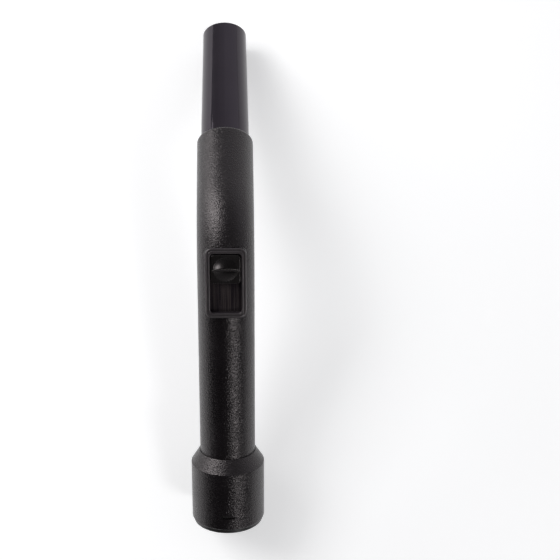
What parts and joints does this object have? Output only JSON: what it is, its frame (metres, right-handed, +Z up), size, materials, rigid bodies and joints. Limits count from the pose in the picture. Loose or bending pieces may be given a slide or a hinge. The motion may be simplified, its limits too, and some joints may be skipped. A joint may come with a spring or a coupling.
{
  "type": "vacuum hose handle",
  "caption": "Bent vacuum cleaner hose handle: smooth spigot for a wand, grained grip with a thumb slide over a bleed-air port, and a collar with a swivelling hose cuff.",
  "frame": {"origin": "middle of the footprint of the handle lying arched side up, on the surface it lies on", "axes": "+Z up, +Y from the hose collar to the spigot, the bend lies in the plane x = 0"},
  "size_m": [0.0542, 0.3822, 0.1091],
  "materials": {
    "gloss_black": "smooth gloss black, moulded",
    "grained_black": "fine spark-eroded grain, matte black",
    "frame_black": "satin gloss black",
    "slide_black": "gloss black",
    "inner_black": "plain black moulding",
    "lug_black": "gloss black",
    "bushing_black": "fine matte black, turned on the hose",
    "seal_rubber": "black rubber",
    "washer_white": "natural acetal",
    "zinc_screw": "bright zinc",
    "spring_steel": "spring steel"
  },
  "bodies": {
    "handle": {"suction_tube": "gloss_black", "grip_top_shell": "grained_black", "grip_bottom_shell": "grained_black", "shell_screws": "zinc_screw", "regulator_bezel": "frame_black", "port_gasket": "seal_rubber", "hose_collar": "grained_black", "collar_screws": "zinc_screw", "dust_seal": "seal_rubber", "coupling_sleeve": "inner_black", "swivel_washer": "washer_white"},
    "slide": {"regulator_slide": "slide_black", "slide_spring": "spring_steel"},
    "hose_swivel": {"hose_bushing": "bushing_black", "bushing_snap_ring": "spring_steel", "swivel_seal": "seal_rubber"},
    "lug_top": {"release_lug_top": "lug_black"},
    "lug_bottom": {"release_lug_bottom": "lug_black"}
  },
  "joints": [
    {"name": "suction_slide", "type": "slide", "parent": "handle", "child": "slide", "axis": [0, -0.9636, -0.2672], "range_m": [0, 0.021]},
    {"name": "hose_turn", "type": "hinge", "parent": "handle", "child": "hose_swivel", "pos_m": [0, -0.16667, 0.02996], "axis": [0, -0.9512, -0.3086], "continuous": true},
    {"name": "lug_top_press", "type": "slide", "parent": "handle", "child": "lug_top", "axis": [0, 0.3086, -0.9512], "range_m": [0, 0.0013], "stiffness_N_per_m": 800, "springref_m": -0.001},
    {"name": "lug_bottom_press", "type": "slide", "parent": "handle", "child": "lug_bottom", "axis": [0, -0.3086, 0.9512], "range_m": [0, 0.0013], "stiffness_N_per_m": 800, "springref_m": -0.001}
  ]
}
